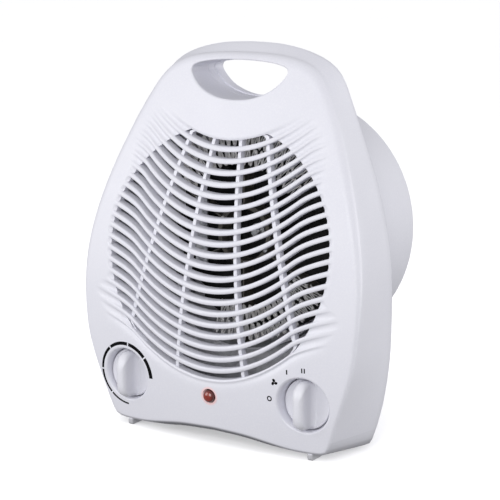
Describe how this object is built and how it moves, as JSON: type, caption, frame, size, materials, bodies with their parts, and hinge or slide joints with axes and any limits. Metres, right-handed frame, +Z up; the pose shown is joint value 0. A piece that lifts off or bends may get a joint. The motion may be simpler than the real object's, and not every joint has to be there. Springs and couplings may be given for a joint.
{
  "type": "fan convector heater",
  "caption": "Upright table fan heater: oval plastic case with handle hole and wavy air grille, rotary thermostat and selector knobs, pilot light, rear drum.",
  "frame": {"origin": "on the ground, under the middle of the whole object's box", "axes": "+Z up; -Y out of the front grille, towards the user; +X to the right as the user sees it"},
  "size_m": [0.2026, 0.1238, 0.2523],
  "materials": {
    "white_plastic": "satin moulded polypropylene, cool white",
    "knob_plastic": "satin moulded ABS, cool white",
    "red_lens": "glossy transparent red acrylic",
    "lamp_glass": "clear glass",
    "rubber": "matt black",
    "zinc_steel": "bright zinc plate",
    "galvanised_sheet": "galvanised sheet, dull",
    "mica_board": "pressed mica board, satin",
    "resistance_wire": "bright nickel-chrome wire, slightly oxidised",
    "black_plastic": "satin black glass-filled polyamide",
    "laminated_iron": "varnished iron laminations",
    "enamelled_copper": "enamelled copper winding",
    "sintered_bronze": "oil-filled sintered bronze",
    "brass": "bright brass",
    "steatite_ceramic": "unglazed steatite",
    "switch_nylon": "natural nylon",
    "lead_brown": "silicone insulation, brown",
    "lead_blue": "PVC insulation, blue"
  },
  "bodies": {
    "case": {"front_shell": "white_plastic", "rear_shell": "white_plastic", "rear_foot_left": "rubber", "rear_foot_right": "rubber", "case_screw_1": "zinc_steel", "case_screw_2": "zinc_steel", "case_screw_3": "zinc_steel", "case_screw_4": "zinc_steel", "thermostat_body": "steatite_ceramic", "thermostat_blade": "brass", "switch_body": "black_plastic", "pilot_lens": "red_lens", "pilot_lamp": "lamp_glass", "fan_duct": "galvanised_sheet", "duct_screw_1": "zinc_steel", "duct_screw_2": "zinc_steel", "duct_screw_3": "zinc_steel", "air_baffle": "galvanised_sheet", "mica_frame": "mica_board", "element_upper": "resistance_wire", "element_lower": "resistance_wire", "thermal_cutout": "zinc_steel", "thermal_fuse": "brass", "terminal_strap": "zinc_steel", "stator_core": "laminated_iron", "motor_coil": "enamelled_copper", "bearing_bracket_front": "galvanised_sheet", "bearing_bracket_rear": "galvanised_sheet", "bearing_bush_front": "sintered_bronze", "bearing_bush_rear": "sintered_bronze", "motor_mount": "galvanised_sheet", "motor_bolt_left": "zinc_steel", "motor_bolt_right": "zinc_steel", "terminal_block": "steatite_ceramic", "cord_inlet_bush": "rubber", "lead_switch": "lead_brown", "lead_thermostat": "lead_brown", "lead_pilot": "lead_blue"},
    "fan_rotor": {"fan_impeller": "black_plastic", "fan_clip": "zinc_steel", "motor_shaft": "zinc_steel", "motor_rotor": "laminated_iron"},
    "thermostat_control": {"thermostat_knob": "knob_plastic", "thermostat_spindle": "brass"},
    "selector_control": {"selector_knob": "knob_plastic", "selector_spindle": "switch_nylon"}
  },
  "joints": [
    {"name": "fan_spin", "type": "hinge", "parent": "case", "child": "fan_rotor", "pos_m": [0, 0.01075, 0.13], "axis": [0, 1, 0], "continuous": true},
    {"name": "thermostat_turn", "type": "hinge", "parent": "case", "child": "thermostat_control", "pos_m": [-0.0669, -0.04735, 0.0361], "axis": [0, -1, 0], "range_deg": [-88, 178]},
    {"name": "selector_turn", "type": "hinge", "parent": "case", "child": "selector_control", "pos_m": [0.0669, -0.04735, 0.0361], "axis": [0, -1, 0], "range_deg": [0, 90]}
  ]
}
